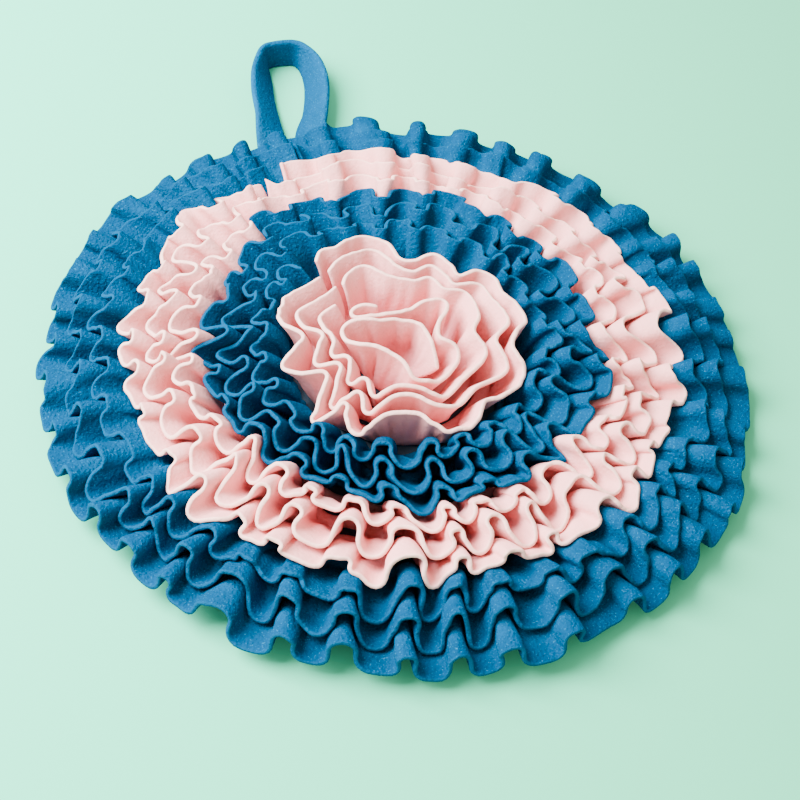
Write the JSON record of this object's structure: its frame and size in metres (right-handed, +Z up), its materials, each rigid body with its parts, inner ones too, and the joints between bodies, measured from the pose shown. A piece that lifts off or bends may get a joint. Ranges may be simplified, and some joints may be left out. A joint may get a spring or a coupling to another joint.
{
  "type": "snuffle mat",
  "caption": "Round snuffle mat for dogs: gathered fleece strips sewn on edge in a spiral around a curled rosette, on a thin round backing, with a folded hanging loop.",
  "frame": {"origin": "centre of the backing's underside, where the mat rests on the floor", "axes": "+Z up out of the ruffles, +Y from the centre towards the hanging loop, +X to its right seen from above"},
  "size_m": [0.4006, 0.4865, 0.0428],
  "materials": {
    "fleece_blue": "matte, lightly pilled",
    "fleece_pink": "matte, brushed",
    "backing_felt": "matte"
  },
  "bodies": {
    "root": {"backing": "backing_felt", "hanging_loop": "fleece_blue", "blue_outer_1": "fleece_blue", "blue_outer_2": "fleece_blue", "blue_outer_3": "fleece_blue", "pink_ring_1": "fleece_pink", "pink_ring_2": "fleece_pink", "pink_ring_3": "fleece_pink", "blue_inner_1": "fleece_blue", "blue_inner_2": "fleece_blue", "blue_inner_3": "fleece_blue", "rosette_1": "fleece_pink", "rosette_2": "fleece_pink", "rosette_3": "fleece_pink", "rosette_heart": "fleece_pink"}
  },
  "joints": []
}
